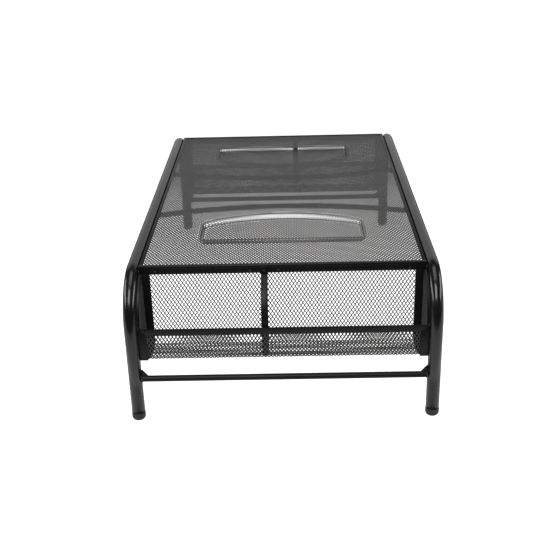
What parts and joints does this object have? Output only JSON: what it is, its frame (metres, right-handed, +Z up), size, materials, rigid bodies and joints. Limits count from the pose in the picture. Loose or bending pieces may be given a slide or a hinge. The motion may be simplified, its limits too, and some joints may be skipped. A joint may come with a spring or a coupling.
{
  "type": "monitor riser stand",
  "caption": "Black steel riser stand for a monitor: bent tube sides, expanded mesh deck with pressed trays, and a divided mesh pocket at each end.",
  "frame": {"origin": "on the desk surface, under the middle of the stand", "axes": "+X along the length to the right end, +Y to the rear, +Z up"},
  "size_m": [0.5084, 0.2924, 0.145],
  "materials": {
    "tube_coat": "semi-gloss black powder coat",
    "rod_coat": "semi-gloss black powder coat",
    "mesh_coat": "satin black powder coat on expanded steel mesh",
    "trim_coat": "satin black powder coat on folded sheet",
    "weld_coat": "black powder coat over weld beads",
    "foot_plastic": "black moulded plastic"
  },
  "bodies": {
    "root": {"front_tube": "tube_coat", "rear_tube": "tube_coat", "foot_cap_front_left": "foot_plastic", "foot_cap_rear_left": "foot_plastic", "foot_cap_front_right": "foot_plastic", "foot_cap_rear_right": "foot_plastic", "lower_rail_left": "rod_coat", "lower_rail_right": "rod_coat", "gusset_front_left": "rod_coat", "gusset_rear_left": "rod_coat", "gusset_front_right": "rod_coat", "gusset_rear_right": "rod_coat", "rail_welds": "weld_coat", "rod_welds": "weld_coat", "spot_welds": "weld_coat", "deck_mesh": "mesh_coat", "deck_hem_front": "trim_coat", "deck_hem_rear": "trim_coat", "deck_hem_left": "trim_coat", "deck_hem_right": "trim_coat", "support_rod_left": "rod_coat", "support_rod_right": "rod_coat", "pocket_basket_left": "mesh_coat", "pocket_basket_right": "mesh_coat", "pocket_side_front_left": "mesh_coat", "pocket_side_rear_left": "mesh_coat", "pocket_side_front_right": "mesh_coat", "pocket_side_rear_right": "mesh_coat", "side_strip_front_left": "trim_coat", "side_strip_rear_left": "trim_coat", "side_strip_front_right": "trim_coat", "side_strip_rear_right": "trim_coat", "side_hem_front_left": "trim_coat", "side_hem_rear_left": "trim_coat", "side_hem_front_right": "trim_coat", "side_hem_rear_right": "trim_coat", "pocket_rim_left": "trim_coat", "pocket_rim_right": "trim_coat", "lip_rail_left": "trim_coat", "lip_rail_right": "trim_coat", "lip_flange_front_left": "trim_coat", "lip_flange_rear_left": "trim_coat", "lip_flange_front_right": "trim_coat", "lip_flange_rear_right": "trim_coat", "divider_left": "mesh_coat", "divider_right": "mesh_coat", "divider_edge_left": "trim_coat", "divider_edge_right": "trim_coat"}
  },
  "joints": []
}
